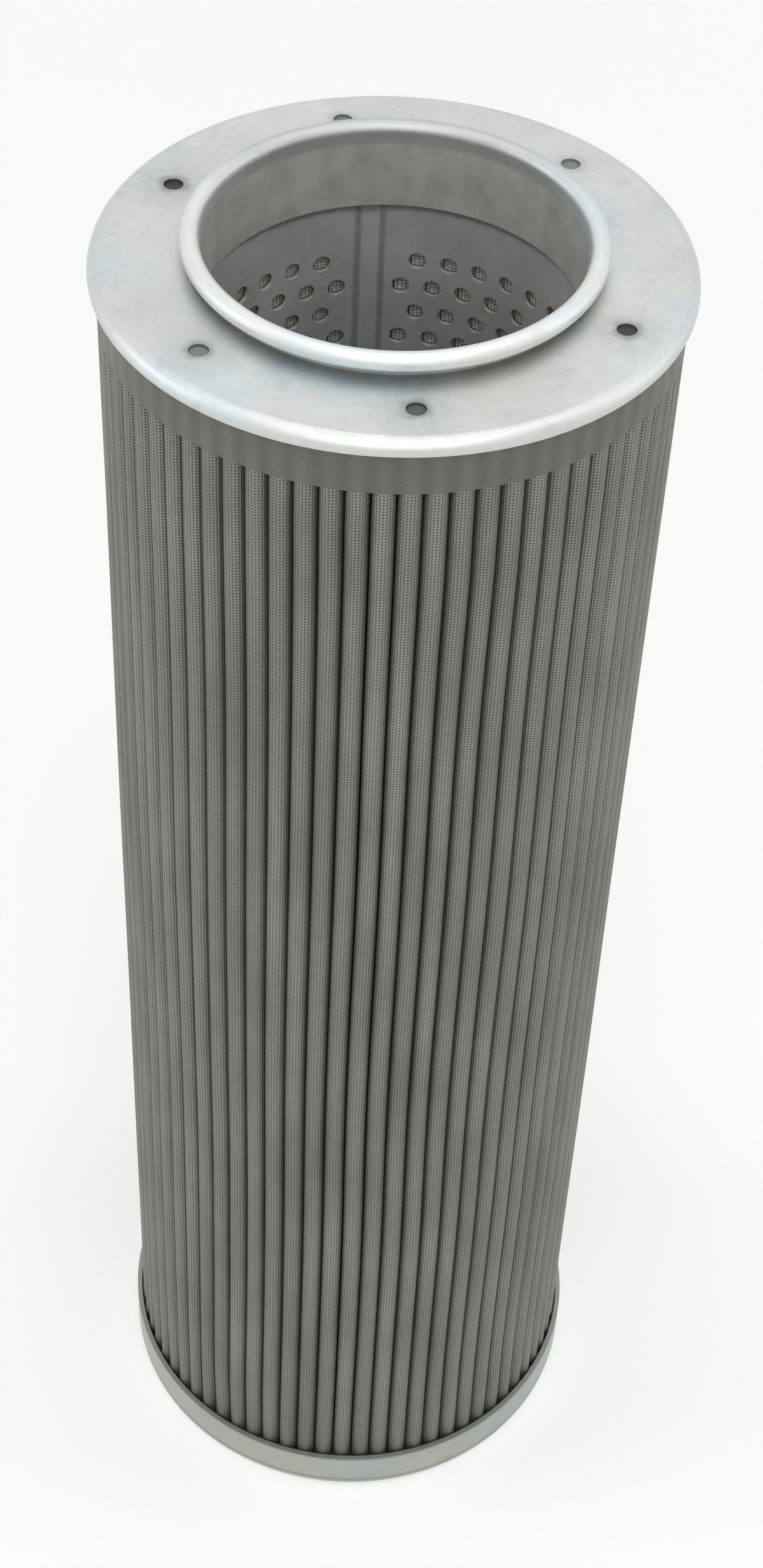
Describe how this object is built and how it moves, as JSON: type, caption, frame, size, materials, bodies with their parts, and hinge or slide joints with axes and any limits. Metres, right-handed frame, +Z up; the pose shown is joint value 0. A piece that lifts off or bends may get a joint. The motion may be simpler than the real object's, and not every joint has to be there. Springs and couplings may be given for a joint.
{
  "type": "pleated filter element",
  "caption": "Tall round filter element: folded wire mesh pack between metal end caps, with an open collar and rolled bead on top and a closed cup below",
  "frame": {"origin": "centre of the foot of the lower end cap, where the element stands", "axes": "+Z up along the element's axis, out of the open collar; the lock seam of the centre tube lies near +Y"},
  "size_m": [0.15, 0.15, 0.4529],
  "materials": {
    "cap_sheet": "plain zinc-plated pressed sheet, dull with a bright rounded edge",
    "collar_metal": "bright smooth bead",
    "resin": "cast resin, olive grey",
    "steel_mesh": "fine woven wire cloth, olive grey",
    "medium": "off-white glass fibre sheet",
    "support_mesh": "fine woven wire cloth",
    "tube_sheet": "perforated sheet, plain",
    "cup_sheet": "plain zinc-plated pressed sheet"
  },
  "bodies": {
    "root": {"upper_end_cap": "cap_sheet", "collar": "collar_metal", "upper_resin": "resin", "outer_mesh": "steel_mesh", "filter_medium": "medium", "inner_mesh": "support_mesh", "centre_tube": "tube_sheet", "lower_resin": "resin", "lower_end_cap": "cup_sheet"}
  },
  "joints": []
}
